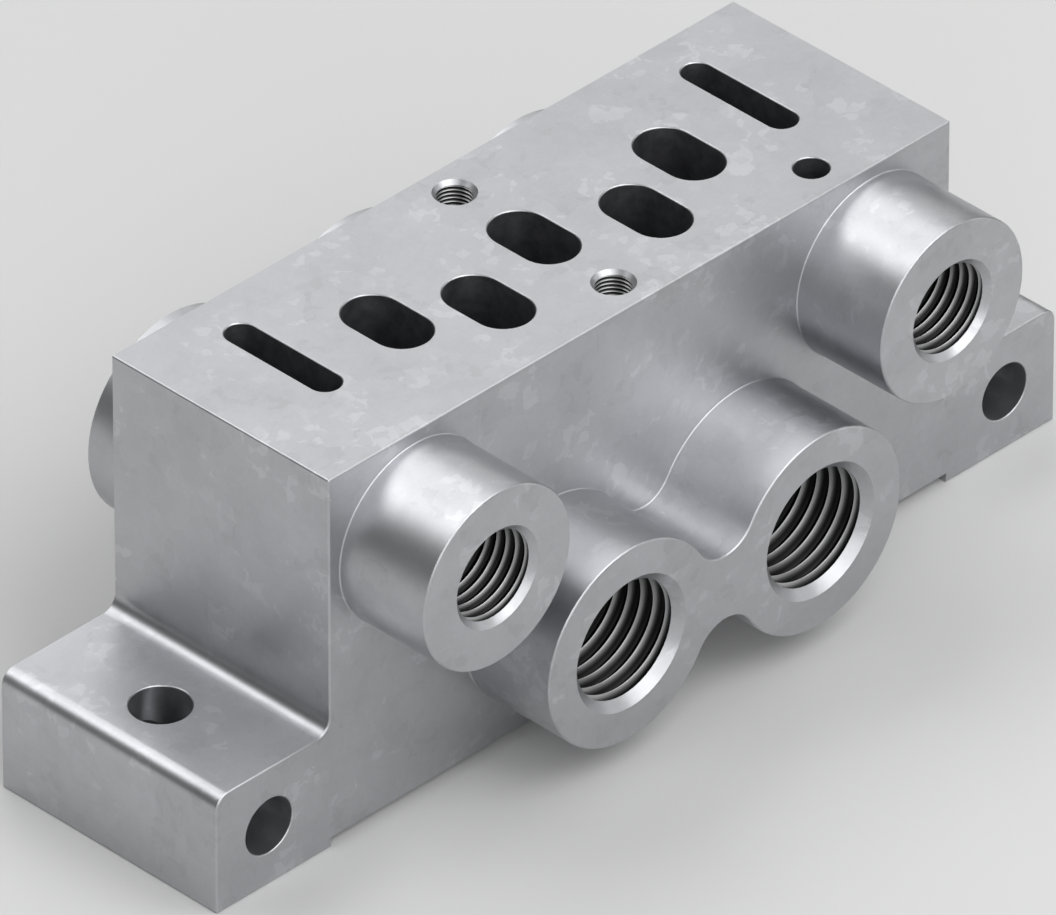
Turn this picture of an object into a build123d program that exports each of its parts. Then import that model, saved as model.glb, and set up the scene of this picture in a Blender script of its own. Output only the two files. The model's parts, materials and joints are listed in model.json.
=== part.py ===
"""Aluminium subbase that carries one 5/2 valve and brings its seven ports out to pipe threads.

One casting, machined. The length runs along X, the front with the two working ports
and the two pilot ports looks to -Y, the back with the supply and exhaust ports to +Y.
The origin is in the middle of the feet, on the surface they stand on. Millimetres.
"""

import math
import os

from build123d import *

# Casting: the block and its two feet
block_length = 75.0
block_width = 26.0
block_height = 38.0
foot_reach = 13.5
foot_height = 12.0
underside_relief = 1.0
foot_edge_radius = 1.5
foot_root_radius = 1.5
edge_break = 0.15

# Round bosses around the port threads
working_boss_diameter = 19.75
pilot_boss_diameter = 17.5
boss_reach = 10.0
boss_root_bevel = 0.1
valley_radius = 3.5

# Where the ports are, seen from the front
working_port_pitch = 23.0
working_port_height = 13.0
pilot_port_pitch = 55.0
pilot_port_height = 28.0
exhaust_port_pitch = 21.0
exhaust_port_height = 19.0
left_exhaust_lift = 0.35

# G 1/4 thread of the working, supply and exhaust ports, G 1/8 of the pilot ports
working_thread_major = 13.157
working_thread_minor = 11.445
working_thread_depth = 12.0
pilot_thread_major = 9.728
pilot_thread_minor = 8.566
pilot_thread_depth = 9.0

# Drilled passages behind the threads
working_passage_diameter = 9.0
pilot_passage_diameter = 6.0
passage_overrun = 0.5
drill_point_angle = 118.0

# Oval and slotted openings in the valve face
oval_width = 5.5
oval_length = 9.0
back_oval_pitch = 17.6
front_oval_pitch = 19.0
front_oval_offset = 4.0
slot_width = 3.0
slot_length = 13.0
slot_offset = 2.5
mouth_break = 0.1

# Screw threads and the locating pin hole in the valve face
screw_pitch = 19.0
screw_thread_major = 4.0
screw_thread_minor = 3.242
screw_hole_depth = 10.0
pin_hole_diameter = 3.2
pin_hole_depth = 6.0
pin_hole_x = 24.0
pin_hole_y = -9.5

# Mounting holes in the feet, one down and one across in each
foot_hole_diameter = 5.5
foot_hole_inset = 6.25

# Positions that follow from the sizes above
half_length = block_length / 2
half_width = block_width / 2
foot_hole_x = half_length + foot_reach - foot_hole_inset
working_centres = [
    Vector(-working_port_pitch / 2, working_port_height),
    Vector(working_port_pitch / 2, working_port_height),
]
pilot_centres = [
    Vector(-pilot_port_pitch / 2, pilot_port_height),
    Vector(pilot_port_pitch / 2, pilot_port_height),
]
exhaust_centres = [
    Vector(-exhaust_port_pitch, exhaust_port_height + left_exhaust_lift),
    Vector(0, exhaust_port_height),
    Vector(exhaust_port_pitch, exhaust_port_height),
]
valve_face = Plane.XY.offset(block_height)
front_wall = Plane.XZ.offset(half_width)
back_wall = Plane.XZ.offset(-half_width)
front_boss_face = Plane.XZ.offset(half_width + boss_reach)
back_boss_face = Plane((0, half_width + boss_reach, 0), x_dir=(-1, 0, 0), z_dir=(0, 1, 0))


def seen_from_behind(centres):
    """The same points with left and right swapped, for a plane that looks backwards."""
    return [Vector(-centre.X, centre.Y) for centre in centres]


def foot_top_corners(outline, at_roots):
    """The outline's corners at the height of the foot tops: those at the feet's roots, or at their ends."""
    corners = outline.vertices().filter_by(lambda corner: abs(corner.Y - foot_height) < edge_break)
    return corners.filter_by(lambda corner: (abs(corner.X) < half_length + edge_break) == at_roots)


def joined_bosses(centres, diameter):
    """Bosses that run together, drawn too large and brought back so their valleys are rounded."""
    with BuildSketch() as bosses:
        with Locations(*centres):
            Circle(diameter / 2 + valley_radius)
        offset(amount=-valley_radius)
    return bosses.sketch


def drill(diameter, depth):
    """Cut a blind hole with a pointed end at the locations in force."""
    radius = diameter / 2
    point_height = radius / math.tan(math.radians(drill_point_angle / 2))
    Hole(radius, depth)
    with Locations((0, 0, -depth)):
        Cone(0, radius, point_height, align=(Align.CENTER, Align.CENTER, Align.MAX), mode=Mode.SUBTRACT)


def tap(major, minor, depth):
    """Cut a threaded hole at its tapping size, opened to the full thread size at the mouth."""
    CounterSinkHole(minor / 2, major / 2, depth, counter_sink_angle=90)


with BuildPart() as subbase_body:
    # Block and feet, drawn as seen from the front
    with BuildSketch(Plane.XZ) as outline:
        with Locations((0, foot_height / 2)):
            Rectangle(block_length + 2 * foot_reach, foot_height)
        with Locations((0, block_height / 2)):
            Rectangle(block_length, block_height)
        with Locations((0, underside_relief / 2)):
            Rectangle(block_length, underside_relief, mode=Mode.SUBTRACT)
        fillet(foot_top_corners(outline, at_roots=False), foot_edge_radius)
        fillet(foot_top_corners(outline, at_roots=True), foot_root_radius)
    extrude(amount=half_width, both=True)
    rims = subbase_body.faces().filter_by(Axis.Y).edges()
    corners = subbase_body.edges().filter_by(Axis.Y).group_by(Axis.Z)
    outer_edges = (rims + corners[0] + corners[-1]).filter_by(
        lambda edge: edge.center().Z > foot_height or abs(edge.center().X) > half_length + edge_break
    )
    chamfer(outer_edges, edge_break)

    # Port bosses, the lower front ones and the back ones run together
    with BuildSketch(front_wall):
        add(joined_bosses(working_centres, working_boss_diameter))
        with Locations(*pilot_centres):
            Circle(pilot_boss_diameter / 2)
    extrude(amount=boss_reach)
    with BuildSketch(back_wall):
        add(joined_bosses(exhaust_centres, working_boss_diameter))
    extrude(amount=-boss_reach)
    round_edges = subbase_body.edges().filter_by(GeomType.CIRCLE)
    boss_roots = round_edges.filter_by(
        lambda edge: abs(abs(edge.center().Y) - half_width) < edge_break / 2 and abs(edge.center().X) < half_length
    )
    chamfer(boss_roots, boss_root_bevel)
    chamfer(subbase_body.edges().group_by(Axis.Y)[0], edge_break)
    chamfer(subbase_body.edges().group_by(Axis.Y)[-1], edge_break)

    # Openings in the valve face, each down to the middle of its passage
    with BuildSketch(valve_face):
        with Locations((-front_oval_pitch / 2, -front_oval_offset), (front_oval_pitch / 2, -front_oval_offset)):
            SlotOverall(oval_length, oval_width, rotation=90)
    extrude(amount=working_port_height - block_height, mode=Mode.SUBTRACT)
    with BuildSketch(valve_face):
        with Locations((-back_oval_pitch, 0), (0, 0), (back_oval_pitch, 0)):
            SlotOverall(oval_length, oval_width, rotation=90)
    extrude(amount=exhaust_port_height - block_height, mode=Mode.SUBTRACT)
    with BuildSketch(valve_face):
        with Locations((-pilot_port_pitch / 2, slot_offset), (pilot_port_pitch / 2, slot_offset)):
            SlotOverall(slot_length, slot_width, rotation=90)
    extrude(amount=pilot_port_height - block_height, mode=Mode.SUBTRACT)
    with Locations(valve_face):
        with Locations((pin_hole_x, pin_hole_y)):
            drill(pin_hole_diameter, pin_hole_depth)
    chamfer(subbase_body.faces().sort_by(Axis.Z)[-1].inner_wires().edges(), mouth_break)

    # Holes in the feet
    with Locations((-foot_hole_x, 0, foot_height), (foot_hole_x, 0, foot_height)):
        Hole(foot_hole_diameter / 2, foot_height)
    with Locations(front_wall):
        with Locations((-foot_hole_x, foot_height / 2), (foot_hole_x, foot_height / 2)):
            Hole(foot_hole_diameter / 2, block_width)
    foot_mouths = subbase_body.edges().filter_by(GeomType.CIRCLE).filter_by(
        lambda edge: abs(edge.radius - foot_hole_diameter / 2) < edge_break and abs(edge.arc_center.X) > half_length
    )
    chamfer(foot_mouths, mouth_break)

    # Threaded ports and the passages that join them to the openings
    with Locations(front_boss_face):
        with Locations(*working_centres):
            drill(
                working_passage_diameter,
                half_width + boss_reach - front_oval_offset + oval_length / 2 + passage_overrun,
            )
            tap(working_thread_major, working_thread_minor, working_thread_depth)
        with Locations(*pilot_centres):
            drill(pilot_passage_diameter, half_width + boss_reach + slot_offset + passage_overrun)
            tap(pilot_thread_major, pilot_thread_minor, pilot_thread_depth)
    with Locations(back_boss_face):
        with Locations(*seen_from_behind(exhaust_centres)):
            drill(working_passage_diameter, half_width + boss_reach + oval_length / 2 + passage_overrun)
            tap(working_thread_major, working_thread_minor, working_thread_depth)

    # Threads for the two screws that hold the valve
    with Locations(valve_face):
        with Locations((0, -screw_pitch / 2), (0, screw_pitch / 2)):
            drill(screw_thread_minor, screw_hole_depth)
            tap(screw_thread_major, screw_thread_minor, screw_hole_depth)

os.makedirs("parts", exist_ok=True)
subbase_body.part.label = "subbase_body"
export_step(subbase_body.part, "parts/subbase_body.step")
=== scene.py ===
"""Looks of the cast aluminium valve subbase: its cut threads, its metal, the floor, light and camera."""

import json
import math

import bmesh
import bpy
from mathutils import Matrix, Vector


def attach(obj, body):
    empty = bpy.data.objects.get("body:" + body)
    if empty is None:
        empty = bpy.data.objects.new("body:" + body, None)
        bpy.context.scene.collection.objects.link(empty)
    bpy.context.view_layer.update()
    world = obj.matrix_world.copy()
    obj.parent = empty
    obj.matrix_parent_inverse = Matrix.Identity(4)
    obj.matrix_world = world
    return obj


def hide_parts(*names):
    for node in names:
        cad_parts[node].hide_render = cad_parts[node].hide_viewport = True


MM = 0.001

# Corners of a mesh that lie closer together than this are one corner
MERGE_DISTANCE = 0.0005 * MM

# The threads in the tapped holes, in mm: radius of the wall at tapping size (minor), radius at the
# bottom of the groove (major), distance from turn to turn, depth of the first crest on the side
# towards +X, and depth of the countersunk mouth. The sides are the flat sides of one turn.
PIPE_THREAD = {
    "minor": 5.7225,
    "major": 6.5785,
    "pitch": 1.478,
    "first_crest": 1.565,
    "mouth": 0.856,
    "sides": 84,
}
PILOT_THREAD = {
    "minor": 4.283,
    "major": 4.864,
    "pitch": 1.113,
    "first_crest": 1.061,
    "mouth": 0.581,
    "sides": 72,
}
SCREW_THREAD = {
    "minor": 1.621,
    "major": 1.82,
    "pitch": 0.4,
    "first_crest": 0.56,
    "mouth": 0.379,
    "sides": 40,
}
THREADS = (PIPE_THREAD, PILOT_THREAD, SCREW_THREAD)

# How a thread is drawn: rows of faces in one turn, the share of a turn that its flat crest takes,
# the turns over which it runs out at its inner end, and the gap in mm that is bridged at each rim
ROWS_PER_TURN = 12
CREST_SHARE = 0.08
RUN_OUT_TURNS = 1.5
RIM_GAP = 0.02
GROOVE = "thread_groove"

# The plain wall of a tapped hole is found by its radius, to within this slack, from the mouth down to
# this many times the hole's length
WALL_SLACK = 0.02 * MM
WALL_REACH = 1.1

# The inside of the block, a little smaller than the block: half length, half width and top, then bottom
INSIDE = Vector((37.2, 12.7, 37.7)) * MM
INSIDE_BOTTOM = 1.3 * MM
# The walls of the passages there have the second of the casting's two materials, darkened with painted shade
PASSAGE_SHADE_SLOT = 1

# Edges between faces that meet more sharply than this are kept crisp, and a strip between crisp edges
# that is narrower than this is one of the bevels that break the edges
CRISP_ANGLE = math.radians(28)
WIDEST_BEVEL = 0.3 * MM
BEVEL = "edge_bevel"
# How much of a bevel's own flat slant is left in its shading: 0 is a full rounding, 1 a flat bevel
BEVEL_FLATNESS = 0.6

# Camera: turned from the front towards the left end, raised above the floor, and its distance in metres
VIEW_TURN = math.radians(45.21)
VIEW_RISE = math.radians(35.34)
VIEW_DISTANCE = 1.9295
AIM_POINT = Vector((-1.66, -0.93, 16.35)) * MM
# Its long lens and the width of its sensor, in mm
LENS = 770.4
SENSOR_WIDTH = 36.0

# The side of the square floor in metres, and how bright the room around it is
FLOOR_SIZE = 6.0
ROOM_STRENGTH = 0.12

# Square softboxes that look at the part, all from the same distance in metres: turn from the front
# towards the left end and rise above the floor in degrees, side in metres, power in watts
SOFTBOX_DISTANCE = 1.2
SOFTBOXES = (
    ("back_left_softbox", 140, 54, 0.55, 2.9),
    ("back_softbox", 180, 54, 0.55, 1.9),
    ("back_right_softbox", -140, 54, 0.55, 2.2),
    ("back_right_low_softbox", -140, 14, 0.55, 1.5),
    ("front_high_softbox", -20, 54, 0.9, 7.3),
    ("front_left_softbox", 34, 34, 1.2, 8.4),
    ("front_right_low_softbox", -60, 14, 0.55, 1.2),
    ("right_high_softbox", -90, 54, 0.4, 1.3),
)


def linear(hex_colour):
    """A colour written as sRGB hex, as the linear colour that a shader takes."""
    parts = [int(hex_colour[i : i + 2], 16) / 255 for i in (1, 3, 5)]
    return tuple(p / 12.92 if p <= 0.04045 else ((p + 0.055) / 1.055) ** 2.4 for p in parts) + (1.0,)


def node(tree, kind, inputs=(), links=(), **settings):
    """Adds one shader node, sets it up and links it."""
    made = tree.nodes.new(kind)
    for name, value in settings.items():
        setattr(made, name, value)
    for socket, value in dict(inputs).items():
        made.inputs[socket].default_value = value
    for socket, source in dict(links).items():
        tree.links.new(source, made.inputs[socket])
    return made


def new_material(name):
    """An empty material and its node tree."""
    material = bpy.data.materials.new(name)
    material.use_nodes = True
    material.node_tree.nodes.clear()
    return material, material.node_tree


def set_ramp(ramp, *stops):
    """Gives a colour ramp its stops, each a position and a colour."""
    elements = ramp.color_ramp.elements
    while len(elements) < len(stops):
        elements.new(0.5)
    for element, (position, hex_colour) in zip(elements, stops):
        element.position = position
        element.color = linear(hex_colour)


def flake_colour(tree, place):
    """The crystal flakes of the skin: large and small ones laid over each other."""
    # Ragged outlines: places are shifted by up to 0.7 mm each way before flakes are told apart
    ripple = node(
        tree,
        "ShaderNodeTexNoise",
        {"Scale": 1 / (1.8 * MM), "Detail": 3.0, "Roughness": 0.6},
        {"Vector": place},
    )
    both_ways = node(
        tree, "ShaderNodeVectorMath", {1: (0.5, 0.5, 0.5)}, {0: ripple.outputs["Color"]}, operation="SUBTRACT"
    )
    shift = node(
        tree, "ShaderNodeVectorMath", {"Scale": 1.5 * MM}, {0: both_ways.outputs[0]}, operation="SCALE"
    )
    shifted = node(tree, "ShaderNodeVectorMath", {}, {0: place, 1: shift.outputs[0]}, operation="ADD")
    # Large flakes are about 3 mm across and count for most of the tone, small ones are 1 mm across
    large_share = 0.62
    tones = []
    for size in (3 * MM, 1 * MM):
        flakes = node(
            tree,
            "ShaderNodeTexVoronoi",
            {"Scale": 1 / size},
            {"Vector": shifted.outputs[0]},
            distance="CHEBYCHEV",
        )
        tones.append(node(tree, "ShaderNodeSeparateColor", {}, {"Color": flakes.outputs["Color"]}).outputs[0])
    large_tone, small_tone = tones
    small_part = node(tree, "ShaderNodeMath", {1: 1 - large_share}, {0: small_tone}, operation="MULTIPLY")
    tone = node(
        tree,
        "ShaderNodeMath",
        {1: large_share},
        {0: large_tone, 2: small_part.outputs[0]},
        operation="MULTIPLY_ADD",
    )
    # Most flakes differ by a few levels only, one in twenty is clearly paler and one a little darker
    colour = node(tree, "ShaderNodeValToRGB", {}, {"Fac": tone.outputs[0]})
    set_ramp(colour, (0.10, "#B3B4B7"), (0.18, "#B7B8BB"), (0.80, "#BCBDC0"), (0.88, "#C4C5C8"))
    return colour.outputs["Color"]


def skin_shade(tree, place):
    """Cloudy flow marks about 9 mm across and a fine tumbled grain of 0.3 mm, as a factor close to 1."""
    shades = []
    for size, detail, roughness, strength in ((9 * MM, 4.0, 0.6, 0.04), (0.3 * MM, 1.0, 0.5, 0.015)):
        marks = node(
            tree,
            "ShaderNodeTexNoise",
            {"Scale": 1 / size, "Detail": detail, "Roughness": roughness},
            {"Vector": place},
        )
        spread = {"From Min": 0.3, "From Max": 0.7, "To Min": 1 - strength, "To Max": 1 + strength}
        shade = node(tree, "ShaderNodeMapRange", spread, {"Value": marks.outputs["Fac"]})
        shades.append(shade.outputs["Result"])
    return node(tree, "ShaderNodeMath", {}, {0: shades[0], 1: shades[1]}, operation="MULTIPLY").outputs[0]


def thread_tone_and_painted_shade(tree, groove):
    """Cut threads: bare grey crests, and painted shade that darkens the grooves the deeper they go."""
    colour = node(tree, "ShaderNodeValToRGB", {}, {"Fac": groove})
    # Painted shade: from the grey crest the tone darkens to nearly black at the bottom of the groove
    set_ramp(colour, (0.22, "#A0A0A0"), (0.42, "#808080"), (0.62, "#3C3C3C"), (0.80, "#242424"))
    return colour.outputs["Color"]


def cast_aluminium():
    """Die-cast aluminium, tumbled satin: faint flakes of crystal in its skin, each of its own tone."""
    material, tree = new_material("cast_aluminium_satin")
    place = node(tree, "ShaderNodeTexCoord").outputs["Object"]
    skin = node(
        tree,
        "ShaderNodeVectorMath",
        {},
        {0: flake_colour(tree, place), "Scale": skin_shade(tree, place)},
        operation="SCALE",
    )
    # The thread's colours, its grey crests and the painted shade in its grooves, take over as soon as its
    # groove begins
    groove = node(tree, "ShaderNodeAttribute", attribute_name=GROOVE).outputs["Fac"]
    in_thread = node(tree, "ShaderNodeMapRange", {"From Max": 0.08}, {"Value": groove})
    colour = node(
        tree,
        "ShaderNodeMix",
        {},
        {"Factor": in_thread.outputs["Result"], "A": skin.outputs[0], "B": thread_tone_and_painted_shade(tree, groove)},
        data_type="RGBA",
    )
    shader = node(
        tree,
        "ShaderNodeBsdfPrincipled",
        {"Metallic": 1.0, "Roughness": 0.4},
        {"Base Color": colour.outputs["Result"]},
    )
    node(tree, "ShaderNodeOutputMaterial", {}, {"Surface": shader.outputs["BSDF"]})
    return material


def passage_painted_shade_aluminium():
    """Aluminium as cored and drilled: rough passage walls, dull and dark with painted shade for the inside of
    the block.
    """
    material, tree = new_material("passage_wall_painted_shade")
    place = node(tree, "ShaderNodeTexCoord").outputs["Object"]
    # Blotches in the painted shade, about 1.2 mm across
    blotches = node(
        tree,
        "ShaderNodeTexNoise",
        {"Scale": 1 / (1.2 * MM), "Detail": 3.0, "Roughness": 0.6},
        {"Vector": place},
    )
    colour = node(tree, "ShaderNodeValToRGB", {}, {"Fac": blotches.outputs["Fac"]})
    # Painted shade: dark greys in place of the light that hardly reaches the passages
    set_ramp(colour, (0.35, "#6E6F72"), (0.65, "#84858A"))
    shader = node(
        tree,
        "ShaderNodeBsdfPrincipled",
        {"Metallic": 1.0, "Roughness": 0.55},
        {"Base Color": colour.outputs["Color"]},
    )
    node(tree, "ShaderNodeOutputMaterial", {}, {"Surface": shader.outputs["BSDF"]})
    return material


def paper_floor():
    """Plain matt paper of a pale grey, which the part stands on."""
    material, tree = new_material("pale_grey_paper")
    shader = node(tree, "ShaderNodeBsdfPrincipled", {"Base Color": linear("#CCCCCC"), "Roughness": 0.9})
    node(tree, "ShaderNodeOutputMaterial", {}, {"Surface": shader.outputs["BSDF"]})
    return material


def is_inner_wall(place):
    """Whether a place lies inside the block, where only the walls of its passages are."""
    return abs(place.x) < INSIDE.x and abs(place.y) < INSIDE.y and INSIDE_BOTTOM < place.z < INSIDE.z


def is_crisp(edge):
    """Whether the two faces at an edge meet sharply."""
    return not edge.is_manifold or edge.calc_face_angle(math.pi) >= CRISP_ANGLE


def mark_bevels(casting):
    """Marks the faces of the narrow bevels, strip by strip."""
    mark = casting.faces.layers.int.new(BEVEL)
    left = set(casting.faces)
    while left:
        # The strip grows while it is walked along, until crisp edges surround it
        strip = [left.pop()]
        for face in strip:
            beside = {other for edge in face.edges if not is_crisp(edge) for other in edge.link_faces}
            strip.extend(beside & left)
            left -= beside
        area = sum(face.calc_area() for face in strip)
        outline = sum(edge.calc_length() for face in strip for edge in face.edges if is_crisp(edge))
        if 2 * area < WIDEST_BEVEL * outline:
            for face in strip:
                face[mark] = 1


def bevel_normals(casting):
    """One normal for each corner: on a bevel its own mixed with the wide faces' beside it, elsewhere none."""
    mark = casting.faces.layers.int[BEVEL]
    normals = []
    for face in casting.faces:
        for corner in face.loops:
            normal = Vector((0, 0, 0))
            if face[mark]:
                for other in corner.vert.link_loops:
                    if not other.face[mark]:
                        normal += other.face.normal * other.calc_angle()
                normal = normal.normalized().lerp(face.normal, BEVEL_FLATNESS)
            normals.append(normal.normalized())
    return normals


def groove_share(thread, turn, depth):
    """How deep the thread groove is, from 0 on the crest to 1 at its bottom, at a turn and a depth in mm."""
    turns = (depth - thread["first_crest"]) / thread["pitch"] + turn / (2 * math.pi)
    from_crest = abs(turns - round(turns)) * 2
    flank = min(max((from_crest - CREST_SHARE) / (1 - 2 * CREST_SHARE), 0.0), 1.0)
    return math.sin(flank * math.pi / 2)


def thread_wall(thread, centre, axis, top, bottom):
    """The wall of a tapped hole with its thread, between two heights on the hole's axis, as a mesh."""
    minor = thread["minor"] * MM
    major = thread["major"] * MM
    pitch = thread["pitch"]
    length = (top - bottom) / MM - 2 * RIM_GAP
    row_step = pitch / ROWS_PER_TURN
    first_row = (thread["first_crest"] - thread["mouth"] - RIM_GAP) % row_step - row_step
    rows = math.ceil((length + pitch - first_row) / row_step)
    # A sheet as wide as one turn is rolled into the wall, its rows slanted so that they follow the
    # thread, and what would stick out past the rims is pressed flat on them
    sheet = bmesh.new()
    bmesh.ops.create_grid(sheet, x_segments=thread["sides"], y_segments=rows, size=0.5)
    side = Vector((1, 0, 0))
    up = axis.cross(side)
    for vert in sheet.verts:
        turn = (vert.co.x + 0.5) * 2 * math.pi
        slant = pitch * turn / (2 * math.pi)
        sunk = min(max(first_row + (vert.co.y + 0.5) * rows * row_step - slant, 0.0), length)
        share = groove_share(thread, turn, thread["mouth"] + RIM_GAP + sunk)
        fade = min((length - sunk) / (RUN_OUT_TURNS * pitch), 1.0)
        out = side * math.cos(turn) + up * math.sin(turn)
        radius = minor + (major - minor) * share * fade
        vert.co = centre + axis * (top - (RIM_GAP + sunk) * MM) + out * radius
    bmesh.ops.remove_doubles(sheet, verts=sheet.verts, dist=MERGE_DISTANCE)
    mesh = bpy.data.meshes.new("thread")
    sheet.to_mesh(mesh)
    sheet.free()
    return mesh


def cut_thread(casting, hole, thread):
    """Takes out the plain wall of one tapped hole and puts its thread there."""
    axis = Vector(hole["axis"])
    centre = Vector(hole["pos_m"])
    minor = thread["minor"] * MM
    major = thread["major"] * MM
    reach = hole["dims"]["length_mm"] * MM * WALL_REACH

    def height(vert):
        return (vert.co - centre).dot(axis)

    def radius(vert):
        return (vert.co - centre - axis * height(vert)).length

    wall_verts = {v for v in casting.verts if abs(radius(v) - minor) < WALL_SLACK and abs(height(v)) < reach}
    top = max(height(v) for v in wall_verts)
    bottom = min(height(v) for v in wall_verts)
    middle = (top + bottom) / 2
    wall = [
        face
        for face in casting.faces
        if all(v in wall_verts for v in face.verts) and len({height(v) > middle for v in face.verts}) == 2
    ]
    bmesh.ops.delete(casting, geom=wall, context="FACES")

    def is_rim(edge, rim_height):
        at_rim = all(v in wall_verts and abs(height(v) - rim_height) < WALL_SLACK for v in edge.verts)
        return edge.is_boundary and at_rim

    mouth_rim = [edge for edge in casting.edges if is_rim(edge, top)]
    inner_rim = [edge for edge in casting.edges if is_rim(edge, bottom)]

    plain_verts = set(casting.verts)
    plain_edges = set(casting.edges)
    mesh = thread_wall(thread, centre, axis, top, bottom)
    casting.from_mesh(mesh)
    bpy.data.meshes.remove(mesh)
    groove = casting.verts.layers.float[GROOVE]
    for vert in casting.verts:
        if vert not in plain_verts:
            vert[groove] = (radius(vert) - minor) / (major - minor)
    ends = [edge for edge in casting.edges if edge.is_boundary and edge not in plain_edges]
    mouth_end = [edge for edge in ends if height(edge.verts[0]) > middle]
    inner_end = [edge for edge in ends if height(edge.verts[0]) < middle]
    bmesh.ops.bridge_loops(casting, edges=mouth_rim + mouth_end)
    bmesh.ops.bridge_loops(casting, edges=inner_rim + inner_end)


def threaded_casting(cad_body, holes):
    """The CAD body with real threads in its tapped holes."""
    casting = bmesh.new()
    casting.from_mesh(cad_body.data)
    bmesh.ops.remove_doubles(casting, verts=casting.verts, dist=MERGE_DISTANCE)
    casting.verts.layers.float.new(GROOVE)
    mark_bevels(casting)
    # Faces inside the block take the material painted with the passages' shade
    for face in casting.faces:
        if is_inner_wall(face.calc_center_median()):
            face.material_index = PASSAGE_SHADE_SLOT
    for hole in holes:
        thread = min(THREADS, key=lambda kind: abs(kind["minor"] - hole["dims"]["r_mm"]))
        cut_thread(casting, hole, thread)
    bmesh.ops.recalc_face_normals(casting, faces=casting.faces)
    for face in casting.faces:
        face.smooth = True
    for edge in casting.edges:
        edge.smooth = not is_crisp(edge)
    mesh = bpy.data.meshes.new("threaded_casting")
    casting.to_mesh(mesh)
    mesh.normals_split_custom_set(bevel_normals(casting))
    casting.free()
    piece = bpy.data.objects.new("threaded_casting", mesh)
    bpy.context.scene.collection.objects.link(piece)
    return piece


def lay_floor(material):
    """A wide flat floor that the feet stand on."""
    floor = bmesh.new()
    bmesh.ops.create_grid(floor, x_segments=1, y_segments=1, size=FLOOR_SIZE / 2)
    mesh = bpy.data.meshes.new("floor")
    floor.to_mesh(mesh)
    floor.free()
    mesh.materials.append(material)
    piece = bpy.data.objects.new("floor", mesh)
    bpy.context.scene.collection.objects.link(piece)


def place_around(thing, turn, rise, distance):
    """Stands a lamp or the camera round the part, turned clockwise from the front as seen from above."""
    away = Vector((-math.sin(turn) * math.cos(rise), -math.cos(turn) * math.cos(rise), math.sin(rise)))
    thing.location = AIM_POINT + away * distance
    thing.rotation_mode = "QUATERNION"
    thing.rotation_quaternion = (-away).to_track_quat("-Z", "Y")


def soft_light(name, turn, rise, side, power):
    """A square softbox that looks at the part, placed by its turn from the front and its rise."""
    light = bpy.data.lights.new(name, "AREA")
    light.shape = "SQUARE"
    light.size = side
    light.energy = power
    lamp = bpy.data.objects.new(name, light)
    lamp.visible_camera = False
    bpy.context.scene.collection.objects.link(lamp)
    place_around(lamp, turn, rise, SOFTBOX_DISTANCE)


def set_camera():
    """The photograph's own view: a long lens from the upper left of the front."""
    lens = bpy.data.cameras.new("camera")
    lens.sensor_width = SENSOR_WIDTH
    lens.lens = LENS
    camera = bpy.data.objects.new("camera", lens)
    bpy.context.scene.collection.objects.link(camera)
    place_around(camera, VIEW_TURN, VIEW_RISE, VIEW_DISTANCE)
    bpy.context.scene.camera = camera


def set_room():
    """A dim room around the floor, without colour, which lights the part softly from all sides."""
    world = bpy.data.worlds.new("room")
    world.use_nodes = True
    tree = world.node_tree
    tree.nodes.clear()
    light = node(tree, "ShaderNodeBackground", {"Color": linear("#FFFFFF"), "Strength": ROOM_STRENGTH})
    node(tree, "ShaderNodeOutputWorld", {}, {"Surface": light.outputs["Background"]})
    bpy.context.scene.world = world


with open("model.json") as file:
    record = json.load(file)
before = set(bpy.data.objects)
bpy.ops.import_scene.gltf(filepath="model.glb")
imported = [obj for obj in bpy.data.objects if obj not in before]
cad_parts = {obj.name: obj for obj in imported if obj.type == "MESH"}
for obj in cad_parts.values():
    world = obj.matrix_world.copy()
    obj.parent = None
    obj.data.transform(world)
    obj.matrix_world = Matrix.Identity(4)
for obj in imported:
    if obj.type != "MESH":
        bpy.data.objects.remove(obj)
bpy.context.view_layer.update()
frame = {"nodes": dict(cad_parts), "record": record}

cad_body = frame["nodes"]["subbase_body"]
metal = cast_aluminium()
cad_body.data.materials.clear()
cad_body.data.materials.append(metal)
tapped_holes = [mount for mount in frame["record"]["mounts"] if mount["kind"] == "threaded_hole"]
casting = threaded_casting(cad_body, tapped_holes)
for material in (metal, passage_painted_shade_aluminium()):
    casting.data.materials.append(material)
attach(casting, "root")
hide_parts("subbase_body")

lay_floor(paper_floor())
set_room()
for name, turn, rise, side, power in SOFTBOXES:
    soft_light(name, math.radians(turn), math.radians(rise), side, power)
set_camera()
bpy.context.scene.view_settings.view_transform = "Standard"
